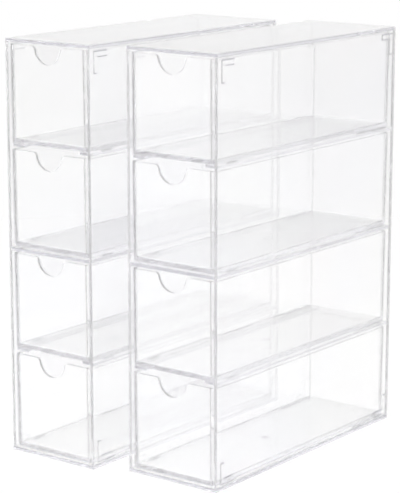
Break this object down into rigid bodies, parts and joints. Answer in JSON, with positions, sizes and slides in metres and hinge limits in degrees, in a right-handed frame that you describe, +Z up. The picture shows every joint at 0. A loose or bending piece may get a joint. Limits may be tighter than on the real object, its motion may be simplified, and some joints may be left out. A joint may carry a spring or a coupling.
{
  "type": "clear drawer tower pair",
  "caption": "Pair of tall clear acrylic organizer towers with stacked pull-out drawers, each drawer with a half-moon finger notch, for make-up, jewellery and glasses.",
  "frame": {"origin": "on the table under the middle of the pair's bounding box", "axes": "+Z up, -Y towards the drawers' fronts, +X towards the right tower"},
  "size_m": [0.1468, 0.193, 0.25],
  "materials": {
    "clear_sheet": "clear bonded sheet with polished faces and edges",
    "clear_moulding": "clear gloss injection moulding"
  },
  "bodies": {
    "right_case": {"right_tower_top_panel": "clear_sheet", "right_tower_bottom_panel": "clear_sheet", "right_tower_left_side_panel": "clear_sheet", "right_tower_right_side_panel": "clear_sheet", "right_tower_back_panel": "clear_sheet", "right_tower_middle_shelf": "clear_sheet", "right_tower_left_rail_1": "clear_sheet", "right_tower_right_rail_1": "clear_sheet", "right_tower_left_rail_2": "clear_sheet", "right_tower_right_rail_2": "clear_sheet"},
    "left_case": {"left_tower_top_panel": "clear_sheet", "left_tower_bottom_panel": "clear_sheet", "left_tower_left_side_panel": "clear_sheet", "left_tower_right_side_panel": "clear_sheet", "left_tower_back_panel": "clear_sheet", "left_tower_middle_shelf": "clear_sheet", "left_tower_left_rail_1": "clear_sheet", "left_tower_right_rail_1": "clear_sheet", "left_tower_left_rail_2": "clear_sheet", "left_tower_right_rail_2": "clear_sheet"},
    "right_drawer_1": {"right_tower_drawer_1": "clear_moulding"},
    "right_drawer_2": {"right_tower_drawer_2": "clear_moulding"},
    "right_drawer_3": {"right_tower_drawer_3": "clear_moulding"},
    "right_drawer_4": {"right_tower_drawer_4": "clear_moulding"},
    "left_drawer_1": {"left_tower_drawer_1": "clear_moulding"},
    "left_drawer_2": {"left_tower_drawer_2": "clear_moulding"},
    "left_drawer_3": {"left_tower_drawer_3": "clear_moulding"},
    "left_drawer_4": {"left_tower_drawer_4": "clear_moulding"}
  },
  "joints": [
    {"name": "right_drawer_1_slide", "type": "slide", "parent": "right_case", "child": "right_drawer_1", "axis": [0, -1, 0], "range_m": [-0.0007, 0.13]},
    {"name": "right_drawer_2_slide", "type": "slide", "parent": "right_case", "child": "right_drawer_2", "axis": [0, -1, 0], "range_m": [-0.0007, 0.13]},
    {"name": "right_drawer_3_slide", "type": "slide", "parent": "right_case", "child": "right_drawer_3", "axis": [0, -1, 0], "range_m": [-0.0007, 0.13]},
    {"name": "right_drawer_4_slide", "type": "slide", "parent": "right_case", "child": "right_drawer_4", "axis": [0, -1, 0], "range_m": [-0.0007, 0.13]},
    {"name": "left_drawer_1_slide", "type": "slide", "parent": "left_case", "child": "left_drawer_1", "axis": [0, -1, 0], "range_m": [-0.0007, 0.13]},
    {"name": "left_drawer_2_slide", "type": "slide", "parent": "left_case", "child": "left_drawer_2", "axis": [0, -1, 0], "range_m": [-0.0007, 0.13]},
    {"name": "left_drawer_3_slide", "type": "slide", "parent": "left_case", "child": "left_drawer_3", "axis": [0, -1, 0], "range_m": [-0.0007, 0.13]},
    {"name": "left_drawer_4_slide", "type": "slide", "parent": "left_case", "child": "left_drawer_4", "axis": [0, -1, 0], "range_m": [-0.0007, 0.13]},
    {"name": "left_tower_place", "type": "slide", "parent": "right_case", "child": "left_case", "axis": [-1, 0, 0], "range_m": [0, 0.1]}
  ]
}
